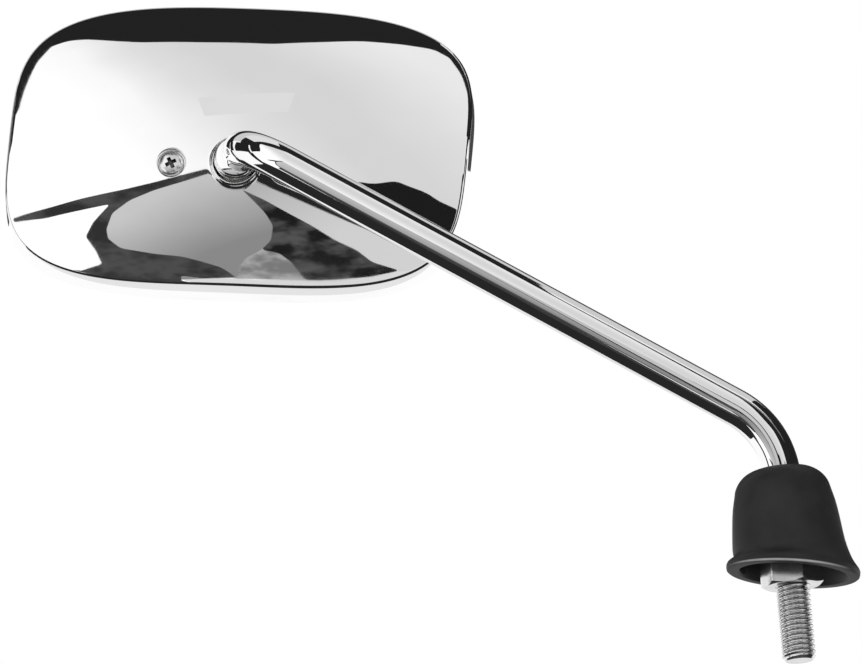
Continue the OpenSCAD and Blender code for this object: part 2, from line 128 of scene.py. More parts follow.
class Sock:
    """One output socket that can be added, subtracted and multiplied like a number."""

    def __init__(self, tree, socket):
        self.tree, self.socket = tree, socket

    def math(self, operation, *values):
        return node(self.tree, "ShaderNodeMath", {"operation": operation}, (self, *values))

    def __add__(self, other): return self.math("ADD", other)
    def __radd__(self, other): return self.math("ADD", other)
    def __sub__(self, other): return self.math("SUBTRACT", other)
    def __rsub__(self, other): return const(self.tree, other).math("SUBTRACT", self)
    def __mul__(self, other): return self.math("MULTIPLY", other)
    def __rmul__(self, other): return self.math("MULTIPLY", other)
    def __truediv__(self, other): return self.math("DIVIDE", other)
    def __pow__(self, other): return self.math("POWER", other)
    def clamp(self): return node(self.tree, "ShaderNodeClamp", {}, (self, 0.0, 1.0))
    def abs(self): return self.math("ABSOLUTE")

    def step(self, low, high):
        """0 below low, 1 above high, and a soft ramp between."""
        return node(self.tree, "ShaderNodeMapRange", {"interpolation_type": "SMOOTHSTEP"},
                    (self, low, high, 0.0, 1.0))


def const(tree, value):
    made = tree.nodes.new("ShaderNodeValue")
    made.outputs[0].default_value = value
    return Sock(tree, made.outputs[0])


def plug(tree, target, value):
    """Links a Sock to a socket, or sets the socket's own value."""
    if isinstance(value, Sock):
        tree.links.new(value.socket, target)
    else:
        target.default_value = value


def node(tree, kind, settings, inputs=(), out=0):
    """Any node: its type, its settings, then its inputs by order or by name."""
    made = tree.nodes.new(kind)
    for name, value in settings.items():
        if name == "stops":
            ramp = made.color_ramp
            while len(ramp.elements) < len(value):
                ramp.elements.new(0.5)
            for element, (place, colour) in zip(ramp.elements, value):
                element.position, element.color = place, colour
        else:
            setattr(made, name, value)
    pairs = inputs.items() if isinstance(inputs, dict) else enumerate(inputs)
    for key, value in pairs:
        plug(tree, made.inputs[key], value)
    return Sock(tree, made.outputs[out])


def grey(level, tint=(1.0, 1.0, 1.0)):
    return (level * tint[0], level * tint[1], level * tint[2], 1.0)


def mix_colour(tree, factor, a, b):
    made = tree.nodes.new("ShaderNodeMix")
    made.data_type = "RGBA"
    for index, value in ((0, factor), (6, a), (7, b)):
        plug(tree, made.inputs[index], value)
    return Sock(tree, made.outputs[2])


def place_on(tree):
    """Object coordinates, in metres."""
    return node(tree, "ShaderNodeTexCoord", {}, (), 3)


def noise(tree, at, scale, detail=2.0, rough=0.5):
    return node(tree, "ShaderNodeTexNoise", {},
                {"Vector": at, "Scale": scale, "Detail": detail, "Roughness": rough})


def bump(tree, height, strength, distance):
    return node(tree, "ShaderNodeBump", {},
                {"Height": height, "Strength": strength, "Distance": distance})


def new_material(name):
    material = bpy.data.materials.new(name)
    material.use_nodes = True
    tree = material.node_tree
    return material, tree, tree.nodes["Principled BSDF"]


print("shader helpers ready")

# %% [markdown]
# ## Chrome
#
# Chrome is almost only reflection: a bright, slightly cool metal with very little roughness.
# What tells it from a computer's perfect mirror are hair-fine polishing marks and faint
# handling haze, so the roughness wanders and the plating has a wave of a few micrometres.

# %% Chrome finishes


def chrome(name, tone, haze, wave):
    material, tree, shader = new_material(name)
    at = place_on(tree)
    cloud = noise(tree, at, 35.0, 4.0, 0.55)
    drawn_out = node(tree, "ShaderNodeMapping", {}, {"Vector": at, "Scale": (900, 900, 60)})
    marks = noise(tree, drawn_out, 1.0, 2.0)
    fine = cloud.step(0.45, 0.75)
    cool, plain = grey(tone, (0.995, 0.998, 1.0)), grey(tone * 0.975)
    plug(tree, shader.inputs["Base Color"], mix_colour(tree, cloud.step(0.3, 0.7), cool, plain))
    shader.inputs["Metallic"].default_value = 1.0
    plug(tree, shader.inputs["Roughness"], fine * haze + marks * haze * 0.5 + 0.012)
    plug(tree, shader.inputs["Normal"], bump(tree, cloud + marks * 0.05, wave, 0.00002))
    return material


CHROME = chrome("shell_chrome", 0.97, 0.03, 0.12)
ROD_CHROME = chrome("rod_chrome", 0.97, 0.04, 0.12)

# %% [markdown]
# ## Zinc, rubber and the other finishes
#
# Plated fasteners are brighter and softer than chrome. Rubber is nearly black and scatters a
# broad, weak sheen from its fine moulded grain. The parts inside the shell get simple finishes
# of their own, because they show when the head is taken apart.

# %% Other finishes


def metal(name, dark, light, rough, grain, tint=(1.0, 1.0, 1.0)):
    """Plated or turned metal with blotches in its colour and a fine grain."""
    material, tree, shader = new_material(name)
    at = place_on(tree)
    blotch = noise(tree, at, 260.0, 3.0, 0.6)
    fine = noise(tree, at, grain, 2.0)
    plug(tree, shader.inputs["Base Color"],
         mix_colour(tree, blotch.step(0.3, 0.7), grey(dark, tint), grey(light, tint)))
    shader.inputs["Metallic"].default_value = 1.0
    plug(tree, shader.inputs["Roughness"], blotch * 0.1 + fine * 0.06 + rough)
    plug(tree, shader.inputs["Normal"], bump(tree, fine + blotch, 0.2, 0.00003))
    return material


def moulded(name, low, high, rough, grain, depth, tint=(1.0, 1.0, 1.0), shine=0.5):
    """Moulded rubber or plastic: a soft colour change and a pebbled skin."""
    material, tree, shader = new_material(name)
    at = place_on(tree)
    soft = noise(tree, at, 90.0, 3.0, 0.6)
    skin = noise(tree, at, grain, 3.0, 0.6)
    plug(tree, shader.inputs["Base Color"],
         mix_colour(tree, soft.step(0.3, 0.7), grey(low, tint), grey(high, tint)))
    plug(tree, shader.inputs["Roughness"], soft * 0.12 + skin * 0.1 + rough)
    shader.inputs["Specular IOR Level"].default_value = shine
    plug(tree, shader.inputs["Normal"], bump(tree, skin, 0.35, depth))
    return material


# Radii and heights where the painted shade in the stud's thread root fades out.
ROOT_SHADE_R = (4.4, 4.7)
TIP_SHADE_Z = (-20.4, -20.9)


def thread_zinc():
    """Bright zinc with painted shade in its thread root, by distance from the stud's axis.

    The painted shade ends above the tip's chamfer, which is as near to the axis as the root is.
    """
    material = metal("stud_zinc", 0.86, 0.96, 0.15, 2600.0)
    tree = material.node_tree
    shader = tree.nodes["Principled BSDF"]
    at = place_on(tree)
    flat = node(tree, "ShaderNodeMapping", {}, {"Vector": at, "Scale": (1, 1, 0)})
    reach = node(tree, "ShaderNodeVectorMath", {"operation": "LENGTH"}, (flat,), 1)
    unshaded = (reach * 1000 + noise(tree, at, 500.0, 2.0) * 0.15).step(*ROOT_SHADE_R)
    height = node(tree, "ShaderNodeSeparateXYZ", {}, (at,), 2) * 1000
    unshaded = (unshaded + height.step(*TIP_SHADE_Z)).clamp()
    plain = Sock(tree, shader.inputs["Base Color"].links[0].from_socket)
    # Painted shade: dark grey in the thread root, near the stud's axis.
    plug(tree, shader.inputs["Base Color"], mix_colour(tree, unshaded, grey(0.35), plain))
    return material


LIP_TURN, LIP_Z, LIP_OFF = math.radians(8.4), 3.4, 0.85


def boot_rubber():
    """Moulded rubber with a painted highlight along the lip's lower edge, on its -y side."""
    cool = (1.0, 1.0, 1.02)
    material = moulded("boot_rubber", 0.011, 0.017, 0.42, 1500.0, 0.00004, cool, 0.3)
    tree = material.node_tree
    shader = tree.nodes["Principled BSDF"]
    at = place_on(tree)
    x, y, z = (node(tree, "ShaderNodeSeparateXYZ", {}, (at,), i) * 1000 for i in range(3))
    above = (z - LIP_Z) * math.cos(LIP_TURN) + (x - LIP_OFF) * math.sin(LIP_TURN)
    near = (x * x + y * y).math("SQRT").step(18.2, 18.8)
    facing = (y * -1 - x * 0.1).step(6.0, 19.0)
    line = (above - 0.28).abs().step(0.42, 0.08) * near * facing
    # Painted highlight along the lip's lower edge, its strength varied by noise.
    painted_lip_highlight = line * (noise(tree, at, 300.0, 3.0) * 0.5 + 0.6)
    plain = Sock(tree, shader.inputs["Base Color"].links[0].from_socket)
    plug(tree, shader.inputs["Base Color"], mix_colour(tree, painted_lip_highlight.clamp(), plain, grey(0.4)))
    return material


STUD_ZINC = thread_zinc()
ZINC = metal("bright_zinc", 0.8, 0.93, 0.1, 2400.0)
# Painted shade for the screw's cross recess.
RECESS_SHADE = metal("recess_shade", 0.05, 0.16, 0.4, 3000.0)
SCREW_ZINC = metal("screw_zinc", 0.78, 0.92, 0.16, 3000.0)
YELLOW_ZINC = metal("yellow_zinc", 0.55, 0.72, 0.25, 2400.0, (1.0, 0.82, 0.5))
BALL_STEEL = metal("ball_steel", 0.45, 0.6, 0.2, 1800.0)
CLAMP_STEEL = metal("clamp_steel", 0.4, 0.55, 0.32, 1500.0)
SPRING_STEEL = metal("spring_steel", 0.3, 0.42, 0.3, 1500.0)
RUBBER = boot_rubber()
HOLDER_PLASTIC = moulded("holder_plastic", 0.018, 0.028, 0.42, 2600.0, 0.00003)
NYLON = moulded("liner_nylon", 0.62, 0.72, 0.4, 1200.0, 0.00002, (1.0, 0.97, 0.88))
FOAM = moulded("pad_foam", 0.05, 0.09, 0.8, 3200.0, 0.0002)


def mirror_silver():
    """Front of the glass: the silvering seen through two millimetres of clear glass."""
    material, tree, shader = new_material("mirror_silver")
    at = place_on(tree)
    haze = noise(tree, at, 18.0, 4.0, 0.6)
    dust = noise(tree, at, 700.0, 2.0).step(0.68, 0.78)
    low, high = grey(0.86, (0.97, 1.0, 0.99)), grey(0.9, (0.98, 1.0, 0.99))
    plug(tree, shader.inputs["Base Color"], mix_colour(tree, haze, low, high))
    shader.inputs["Metallic"].default_value = 1.0
    plug(tree, shader.inputs["Roughness"], haze * 0.01 + dust * 0.05 + 0.004)
    shader.inputs["Coat Roughness"].default_value = 0.01
    shader.inputs["Coat Weight"].default_value = 0.4
    return material


MIRROR = mirror_silver()
print(len(bpy.data.materials), "finishes")

# %% [markdown]
# ## Lofting with rings
#
# Most of this mirror is a stack of closed rings: the shell, its turret, the collar, the boot.
# One helper makes them all. It starts from a circle, extrudes its edges once for every further
# ring, and moves each new ring's points to where a small function puts them.

# %% Ring and finishing helpers


def next_ring(bm, ring):
    """Extrudes a closed ring of points and returns the new ring, in the same order."""
    edges = [next(e for e in v.link_edges if e.other_vert(v) is w)
             for v, w in zip(ring, ring[1:] + ring[:1])]
    made = bmesh.ops.extrude_edge_only(bm, edges=edges)["geom"]
    fresh = {g for g in made if isinstance(g, bmesh.types.BMVert)}
    return [next(e.other_vert(v) for e in v.link_edges if e.other_vert(v) in fresh) for v in ring]


def loft(bm, count, places, closed=False, capped=True):
    """Rings of `count` points. Each entry of places turns an angle into a point."""
    ring = bmesh.ops.create_circle(bm, segments=count, radius=1.0)["verts"]
    angles = [2 * math.pi * i / count for i in range(count)]
    first = ring
    for index, place in enumerate(places):
        if index:
            ring = next_ring(bm, ring)
        for vert, angle in zip(ring, angles):
            vert.co = place(angle)
    if closed:
        rim = [e for e in bm.edges if len(e.link_faces) == 1 and all(
            v in set(first) or v in set(ring) for v in e.verts)]
        bmesh.ops.bridge_loops(bm, edges=rim)
    elif capped:
        bmesh.ops.contextual_create(bm, geom=first)
        bmesh.ops.contextual_create(bm, geom=ring)
    return first, ring


def turned(profile, centre=(0.0, 0.0)):
    """Places for a turned form: one circle for each (radius, height)."""
    x, y = centre
    return [lambda a, r=r, h=h: Vector((x + r * math.cos(a), y + r * math.sin(a), h))
            for r, h in profile]


def arc(centre, radius, start, end, steps):
    """Points of an arc as (radius, height) pairs, from one angle to the other, in degrees."""
    return [(centre[0] + radius * math.cos(math.radians(start + (end - start) * i / steps)),
             centre[1] + radius * math.sin(math.radians(start + (end - start) * i / steps)))
            for i in range(steps + 1)]


def finish_piece(bm, name, frame_matrix, material, body, nodes, sharp=40.0):
    """Places a bmesh, shades it smooth but for its sharp edges, and ties it to its body."""
    bmesh.ops.remove_doubles(bm, verts=bm.verts, dist=1e-4)
    bmesh.ops.transform(bm, matrix=frame_matrix, verts=bm.verts)
    bmesh.ops.recalc_face_normals(bm, faces=bm.faces)
    limit = math.radians(sharp)
    for face in bm.faces:
        face.smooth = True
    for edge in bm.edges:
        edge.smooth = len(edge.link_faces) == 2 and edge.calc_face_angle(0.0) < limit
    mesh = bpy.data.meshes.new(name)
    bm.to_mesh(mesh)
    bm.free()
    piece = bpy.data.objects.new(name, mesh)
    bpy.context.scene.collection.objects.link(piece)
    mesh.materials.append(material)
    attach(piece, body)
    if nodes:
        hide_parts(*nodes)
    print(name, len(mesh.polygons), "faces")
    return piece


# %% [markdown]
# ## The shell's outline and dome
#
# The pressed back is a shallow dome trimmed by a rounded rectangle. Its slope across depends
# only on the distance across, and its slope upwards only on the height, which is what keeps the
# reflection's edges straight. The outline is a superellipse that leans a little.

# %% Outline and dome
HALF_W, HALF_H = 66.9, 41.55
END_POWER, TOP_POWER, LEAN = 3.41, 3.83, 0.058
CENTRE = Vector((-1.6, 6.2))
SKIN_H, DOME_RISE, FRONT_H = 9.0, 10.5, -21.066
EDGE_R, DRAFT, WALL = 1.2, 0.3, 2.2
FILLET_TURN = 62.0
FILLET_IN = EDGE_R * (1 - math.cos(math.radians(FILLET_TURN)))
FILLET_H = EDGE_R * math.sin(math.radians(FILLET_TURN))
AROUND = 240


def outline(d, a):
    """A point of the outline, moved out by d, from the outline's centre."""
    c, s = math.cos(a), math.sin(a)
    x = (HALF_W + d) * math.copysign(abs(c) ** (2 / END_POWER), c)
    y = (HALF_H + d) * math.copysign(abs(s) ** (2 / TOP_POWER), s)
    return Vector((x + LEAN * y, y))


def dome(p):
    """Height of the dome over a point measured from the outline's centre."""
    return SKIN_H - DOME_RISE * (((p.x - LEAN * p.y) / HALF_W) ** 2 + (p.y / HALF_H) ** 2)


def level(d, h):
    """A ring along the outline at one height."""
    return lambda a: (outline(d, a) + CENTRE).to_3d() + Vector((0, 0, h))


def below_crease(d, drop):
    """A ring along the outline that keeps its distance below the dome's edge."""
    def place(a):
        lift = dome(outline(-FILLET_IN, a)) - drop
        return (outline(d, a) + CENTRE).to_3d() + Vector((0, 0, lift))
    return place


def even_angles(count):
    """Outline angles whose points are evenly spread, so that no ring bunches at a corner."""
    fine = 6000
    at = [outline(0, 2 * math.pi * i / fine) for i in range(fine + 1)]
    run = [0.0]
    for p, q in zip(at, at[1:]):
        run.append(run[-1] + (q - p).length)
    angles, i = [], 0
    for k in range(count):
        while run[i + 1] < run[-1] * k / count:
            i += 1
        share = (run[-1] * k / count - run[i]) / (run[i + 1] - run[i])
        angles.append(2 * math.pi * (i + share) / fine)
    return angles


SPREAD = even_angles(AROUND)


def spread(place):
    """Turns a ring's even angle into the outline angle with the same share of its length."""
    return lambda a: place(SPREAD[round(a / (2 * math.pi) * AROUND) % AROUND])


print("dome edge", round(SKIN_H - DOME_RISE, 2), "front", round(FRONT_H, 2))

# %% [markdown]
# ## Back shell
#
# The shell is one closed loft: up the turret's mouth, over its rounded top and down its foot,
# out across the dome, round the tight crease, along the side to the open front, and back inside
# under the dome to the ball socket. The screw's recess is cut afterwards with a Boolean.

# %% Shell rings
TURRET_R, MOUTH_R, TURRET_TOP, FOOT_R = 7.3, 6.6, 13.5, 8.0
NECK_SHIFT = Vector((-1.9, -0.9))
SOCKET_R, SOCKET_OUTER_R, SOCKET_LOW = 9.4, 12.6, 1.4
MOUTH_ROUND, TURRET_ROUND, FOOT_LIFT = 0.25, 0.4, 0.7


def ray(share, depth, start_r=SOCKET_OUTER_R, d=0.0, shift=Vector((0, 0))):
    """A ring on the dome between the turret's foot and the crease, along rays from the neck."""
    def place(a):
        rim = outline(-FILLET_IN + d, a) + CENTRE
        near = rim.normalized() * start_r + shift
        p = near.lerp(rim, share)
        return Vector((p.x, p.y, dome(p - CENTRE) - depth))
    return place


def foot(share):
    """The hollow curve between the turret's wall and the dome."""
    def place(a):
        way = (outline(-FILLET_IN, a) + CENTRE).normalized()
        turn = math.sin(share * math.pi / 2)
        p = way * (FOOT_R - (FOOT_R - TURRET_R) * turn) + NECK_SHIFT
        lift = FOOT_LIFT * (1 - math.cos(share * math.pi / 2))
        return Vector((p.x, p.y, dome(p - CENTRE) + lift))
    return place


def around_ball(r, h):
    """A circle about the ball's axis, with its points on the same rays as the outline's."""
    def place(a):
        way = (outline(-FILLET_IN, a) + CENTRE).normalized() * r
        return Vector((way.x, way.y, h))
    return place


def on_ball_sphere(r, drop, radius=TURRET_TOP):
    """A circle about the neck's centre, this far under a sphere about the ball."""
    def place(a):
        p = (outline(-FILLET_IN, a) + CENTRE).normalized() * r + NECK_SHIFT
        return Vector((p.x, p.y, math.sqrt(radius ** 2 - p.length_squared) - drop))
    return place


def across(r):
    """Half the width of the socket's sphere at a height, or its height at a radius."""
    return math.sqrt(SOCKET_R ** 2 - r ** 2)


rings = [around_ball(MOUTH_R, across(MOUTH_R)), on_ball_sphere(MOUTH_R, 1.2)]
rings += [on_ball_sphere(MOUTH_R + MOUTH_ROUND - r, MOUTH_ROUND - h)
          for r, h in arc((0, 0), MOUTH_ROUND, 0, 90, 4)]
rings += [on_ball_sphere(TURRET_R - TURRET_ROUND + r, TURRET_ROUND - h)
          for r, h in arc((0, 0), TURRET_ROUND, 80, 0, 5)]
rings += [foot(i / 8) for i in range(8, 0, -1)]
shares = [0.0, 0.01, 0.025, 0.05] + [0.08 + 0.9 * i / 34 for i in range(35)] + [0.99, 1.0]
rings += [ray(s, 0.0, FOOT_R, 0.0, NECK_SHIFT) for s in shares]
rings += [below_crease(-EDGE_R * (1 - math.cos(t)), FILLET_H - EDGE_R * math.sin(t))
          for t in (math.radians(FILLET_TURN * (1 - i / 8)) for i in range(1, 9))]
rings += [below_crease(0, FILLET_H + 0.6), level(DRAFT, FRONT_H + 0.5),
          level(DRAFT - 0.15, FRONT_H + 0.12), level(DRAFT - 0.5, FRONT_H)]
rings += [level(DRAFT - WALL + 0.4, FRONT_H), level(DRAFT - WALL, FRONT_H + 0.4)]
rings += [level(-WALL, -12.0), below_crease(-WALL, FILLET_H + WALL)]
rings += [ray(s, WALL, SOCKET_OUTER_R, -WALL * 0.75)
          for s in (1.0, 0.97, 0.9, 0.75, 0.6, 0.4, 0.2, 0.05)]
rings += [around_ball(SOCKET_OUTER_R, 5.5), around_ball(SOCKET_OUTER_R, SOCKET_LOW),
          around_ball(across(SOCKET_LOW), SOCKET_LOW)]
rings += [around_ball(SOCKET_R * math.cos(t), SOCKET_R * math.sin(t))
          for t in (math.radians(degrees) for degrees in (16, 25, 34))]

shell = bmesh.new()
loft(shell, AROUND, [spread(r) for r in rings], closed=True)
print("shell rings", len(rings))

# %% [markdown]
# The bosses inside are plain turned posts, so a cone from the operators does. The recess of the
# back screw is cut with a turned tool that flares at its mouth, as a pressed-in seat does.

# %% Bosses and screw recess
SCREW_AT = Vector((-20.8, -1.5))
SCREW_SEAT = 5.8
HEAD_R = 3.9
BOSSES = ((30, 7.0), (150, 7.0), (270, 3.9))
BOSS_AT, BOSS_R, BOSS_LOW = 16, 3.5, -0.9
SEAT_POST_R = 5.8


def post(bm, x, y, low, high, r):
    """An upright round post between two heights."""
    made = bmesh.ops.create_cone(bm, cap_ends=True, segments=32, radius1=r, radius2=r,
                                 depth=high - low)
    bmesh.ops.translate(bm, verts=made["verts"], vec=(x, y, (low + high) / 2))


def object_from(bm, name):
    """A helper object for a Boolean, which isn't in the scene for long."""
    bmesh.ops.recalc_face_normals(bm, faces=bm.faces)
    mesh = bpy.data.meshes.new(name)
    bm.to_mesh(mesh)
    bm.free()
    made = bpy.data.objects.new(name, mesh)
    bpy.context.scene.collection.objects.link(made)
    return made


def cut(target_bm, tool_bm, name):
    """Cuts one bmesh with another, both in the head's millimetres, and returns the result."""
    target = object_from(target_bm, name + "_body")
    tool = object_from(tool_bm, name + "_tool")
    step = target.modifiers.new("cut", "BOOLEAN")
    step.operation, step.object, step.solver = "DIFFERENCE", tool, "EXACT"
    shaped = target.evaluated_get(bpy.context.evaluated_depsgraph_get())
    result = bmesh.new()
    result.from_mesh(shaped.to_mesh())
    shaped.to_mesh_clear()
    for spent in (target, tool):
        mesh = spent.data
        bpy.data.objects.remove(spent)
        bpy.data.meshes.remove(mesh)
    return result


seat = bmesh.new()
loft(seat, 64, turned([(HEAD_R + 0.35, SCREW_SEAT), (HEAD_R + 0.35, 7.6), (HEAD_R + 0.45, 7.9),
                       (HEAD_R + 0.9, 8.5), (HEAD_R + 0.9, 12.0)], SCREW_AT))
shell = cut(shell, seat, "shell")
post(shell, SCREW_AT.x, SCREW_AT.y, -1.0, SCREW_SEAT - 0.05, SEAT_POST_R)
for turn_deg, top in BOSSES:
    a = math.radians(turn_deg)
    post(shell, BOSS_AT * math.cos(a), BOSS_AT * math.sin(a), BOSS_LOW, top, BOSS_R)
finish_piece(shell, "shell", HEAD_FRAME, CHROME, "head", ["back_shell"], 35)

# %% [markdown]
# ## Neck collar
#
# The collar is a small turned ring that hides the joint between the rod and the turret. Its
# underside is hollow, concentric with the ball, so that the head can tilt under it.

# %% Collar
COLLAR_R, COLLAR_BORE_R, COLLAR_GAP = 6.25, 3.7, 0.3
COLLAR_WALL_H, COLLAR_TOP = (13.0, 15.2), 17.0
COLLAR_ROUND = 0.6


def collar_ring(r, h=None, shift=NECK_SHIFT):
    """A circle about the neck's centre; without a height it lies on the hollow underside."""
    def place(a):
        p = Vector((r * math.cos(a), r * math.sin(a))) + shift
        under = math.sqrt((TURRET_TOP + COLLAR_GAP) ** 2 - p.length_squared)
        return Vector((p.x, p.y, under if h is None else h))
    return place


ON_AXIS = Vector((0, 0))
places = [collar_ring(COLLAR_BORE_R, None, ON_AXIS)]
places += [collar_ring(r) for r in (5.0, 5.6, 5.9, 6.1)]
places += [collar_ring(COLLAR_R, h) for h in COLLAR_WALL_H]
places += [collar_ring(r, h) for r, h in arc((5.65, COLLAR_WALL_H[1]), COLLAR_ROUND, 10, 75, 5)]
places += [collar_ring(r, h) for r, h in ((5.7, 16.6), (5.6, 16.9), (5.4, COLLAR_TOP))]
places += [collar_ring(COLLAR_BORE_R, COLLAR_TOP, ON_AXIS)]
collar = bmesh.new()
loft(collar, 96, places, closed=True)
finish_piece(collar, "collar", HEAD_FRAME, ROD_CHROME, "stem_body", ["neck_collar"],
             50)

# %% [markdown]
# ## Rod
#
# The rod starts as one circle on the stud's axis. Extruding moves it along the straights and
# spinning turns it round the two bends, exactly as a bending machine would.

# %% Rod path
ROD_R, STUD_R, SHOULDER_Z, DROP = 5.45, 4.95, 12.0, 22.1
BEND_R, NECK_R, BEND_Z = 27.0, 15.0, 31.9
SHOULDER_ROUND = 0.5
neck_across, neck_up = -BALL.x - BEND_R, BALL.z - BEND_Z
neck_away = math.hypot(neck_across, neck_up)
RUN = math.atan2(neck_up, neck_across) - math.asin(BEND_R / neck_away)
run_way = Vector((-math.cos(RUN), 0, math.sin(RUN)))
run_length = math.sqrt(neck_away ** 2 - BEND_R ** 2) - NECK_R


def push(bm, edges, vec, steps=1):
    """Extrudes an open end along a straight, in equal steps, and returns its new edges."""
    for _ in range(steps):
        made = bmesh.ops.extrude_edge_only(bm, edges=edges)["geom"]
        verts = [g for g in made if isinstance(g, bmesh.types.BMVert)]
        bmesh.ops.translate(bm, verts=verts, vec=vec / steps)
        edges = [g for g in made if isinstance(g, bmesh.types.BMEdge)
                 and all(v in verts for v in g.verts)]
    return edges, verts


def swing(bm, edges, centre, axis, angle, steps):
    """Spins an open end round a bend and returns its new edges."""
    made = bmesh.ops.spin(bm, geom=edges, cent=centre, axis=axis, angle=angle, steps=steps,
                          dvec=(0, 0, 0), use_duplicate=False)["geom_last"]
    return [g for g in made if isinstance(g, bmesh.types.BMEdge)]


def middle(edges):
    verts = {v for e in edges for v in e.verts}
    return sum((v.co for v in verts), Vector()) / len(verts)


rod = bmesh.new()
small_r = ROD_R - SHOULDER_ROUND
ring = bmesh.ops.create_circle(rod, segments=96, radius=small_r, cap_ends=True)["verts"]
bmesh.ops.translate(rod, verts=ring, vec=(0, 0, SHOULDER_Z))
edges = [e for e in rod.edges]
edges, verts = push(rod, edges, Vector((0, 0, SHOULDER_ROUND)))
bmesh.ops.scale(rod, vec=(ROD_R / small_r, ROD_R / small_r, 1), verts=verts)
edges, _ = push(rod, edges, Vector((0, 0, BEND_Z - SHOULDER_Z - SHOULDER_ROUND)), 4)
edges = swing(rod, edges, (-BEND_R, 0, BEND_Z), (0, -1, 0), math.pi / 2 - RUN, 40)
edges, _ = push(rod, edges, run_way * run_length, 12)
end = middle(edges)
neck_axis = run_way.cross(Vector((0, 1, 0)))
edges = swing(rod, edges, end + Vector((0, NECK_R, 0)), neck_axis, math.pi / 2, 48)
end = middle(edges)
edges, verts = push(rod, edges, Vector((0, BALL.y - COLLAR_TOP - end.y, 0)))
bmesh.ops.contextual_create(rod, geom=verts)
print("rod ends at", [round(c, 2) for c in middle(edges)], "ball at", [round(c, 2) for c in BALL])

# %% [markdown]
# Hidden inside the neck, a spigot carries the ball, and a riveted pin end holds it. The spigot is
# narrow where it passes the turret's mouth, so that the head can pan and tilt round it.

# %% Spigot and pin
SPIGOT_R, WAIST_R, PIN_R, RIVET_R = 3.5, 2.2, 3.0, 3.6
WAIST_TOP, WAIST_LOW, PIN_TOP, PIN_LOW, RIVET_TOP, RIVET_LOW = 14.5, 5.5, 5.6, -6.0, -5.4, -6.4


def coaxial(bm, r, high, low):
    """A pin on the ball's axis, between two heights above the ball's centre."""
    made = bmesh.ops.create_cone(bm, cap_ends=True, segments=64, radius1=r, radius2=r,
                                 depth=high - low)["verts"]
    bmesh.ops.rotate(bm, cent=(0, 0, 0), matrix=Matrix.Rotation(math.pi / 2, 3, "X"), verts=made)
    bmesh.ops.translate(bm, verts=made, vec=BALL - Vector((0, (high + low) / 2, 0)))


coaxial(rod, SPIGOT_R, COLLAR_TOP + 0.5, WAIST_TOP - 0.1)
coaxial(rod, WAIST_R, WAIST_TOP, WAIST_LOW)
coaxial(rod, PIN_R, PIN_TOP, PIN_LOW)
coaxial(rod, RIVET_R, RIVET_TOP, RIVET_LOW)
print("rod with its pin", len(rod.faces), "faces")

# %% [markdown]
# ## Thread
#
# A thread is one tooth's outline turned and lifted at the same time. Spin takes a `dvec` for the
# lift, so a profile of one pitch becomes a helix whose turns meet edge to edge. Two planes trim
# its ends, and the tip is pulled in to a chamfer.

# %% Threaded stud
PITCH, TURN_STEPS, THREAD_DEPTH, CREST_ROUND = 1.5, 64, 0.6, 0.08
TIP_R, TIP_H = STUD_R - 1.0, 1.3
ROOT_R = STUD_R - THREAD_DEPTH
stud = bmesh.new()
tooth = [(ROOT_R, 0.0), (ROOT_R, 0.22), (STUD_R - CREST_ROUND, 0.58), (STUD_R, 0.66),
         (STUD_R, 1.06), (STUD_R - CREST_ROUND, 1.14), (ROOT_R, PITCH)]
turns = math.ceil((SHOULDER_Z + DROP) / PITCH) + 3
low = -DROP - 2 * PITCH
points = [stud.verts.new((r, 0, low + z)) for r, z in tooth]
profile_edges = [stud.edges.new(pair) for pair in zip(points, points[1:])]
bmesh.ops.spin(stud, geom=points + profile_edges, cent=(0, 0, 0), axis=(0, 0, 1),
               angle=2 * math.pi * turns, steps=TURN_STEPS * turns,
               dvec=(0, 0, PITCH / TURN_STEPS), use_duplicate=False)
bmesh.ops.remove_doubles(stud, verts=stud.verts, dist=1e-3)
for height, side in ((-DROP, -1), (SHOULDER_Z + 0.3, 1)):
    flat = bmesh.ops.bisect_plane(stud, geom=stud.verts[:] + stud.edges[:] + stud.faces[:],
                                  plane_co=(0, 0, height), plane_no=(0, 0, side), clear_outer=True)
    rim = [g for g in flat["geom_cut"] if isinstance(g, bmesh.types.BMEdge)]
    bmesh.ops.contextual_create(stud, geom=rim)
for vert in stud.verts:
    away_from_axis = math.hypot(vert.co.x, vert.co.y)
    allowed = TIP_R + (STUD_R - TIP_R) * (vert.co.z + DROP) / TIP_H
    if vert.co.z < TIP_H - DROP and away_from_axis > allowed:
        shrink = allowed / away_from_axis
        bmesh.ops.scale(stud, vec=(shrink, shrink, 1), verts=[vert])
stud_mesh = bpy.data.meshes.new("spare")
stud.to_mesh(stud_mesh)
stud.free()
first_stud_face = len(rod.faces)
rod.from_mesh(stud_mesh)
rod.faces.ensure_lookup_table()
for face in rod.faces[first_stud_face:]:
    face.material_index = 1
bpy.data.meshes.remove(stud_mesh)
rod_piece = finish_piece(rod, "rod", ROW_FRAME, ROD_CHROME, "stem_body", ["stem"],
                         50)
rod_piece.data.materials.append(STUD_ZINC)

# %% [markdown]
# ## Back screw
#
# A pan-head screw with a cross recess sits in the shell's seat. The head is turned from its
# profile, and the recess is cut by two crossed wedges that narrow downwards, as a punch does.

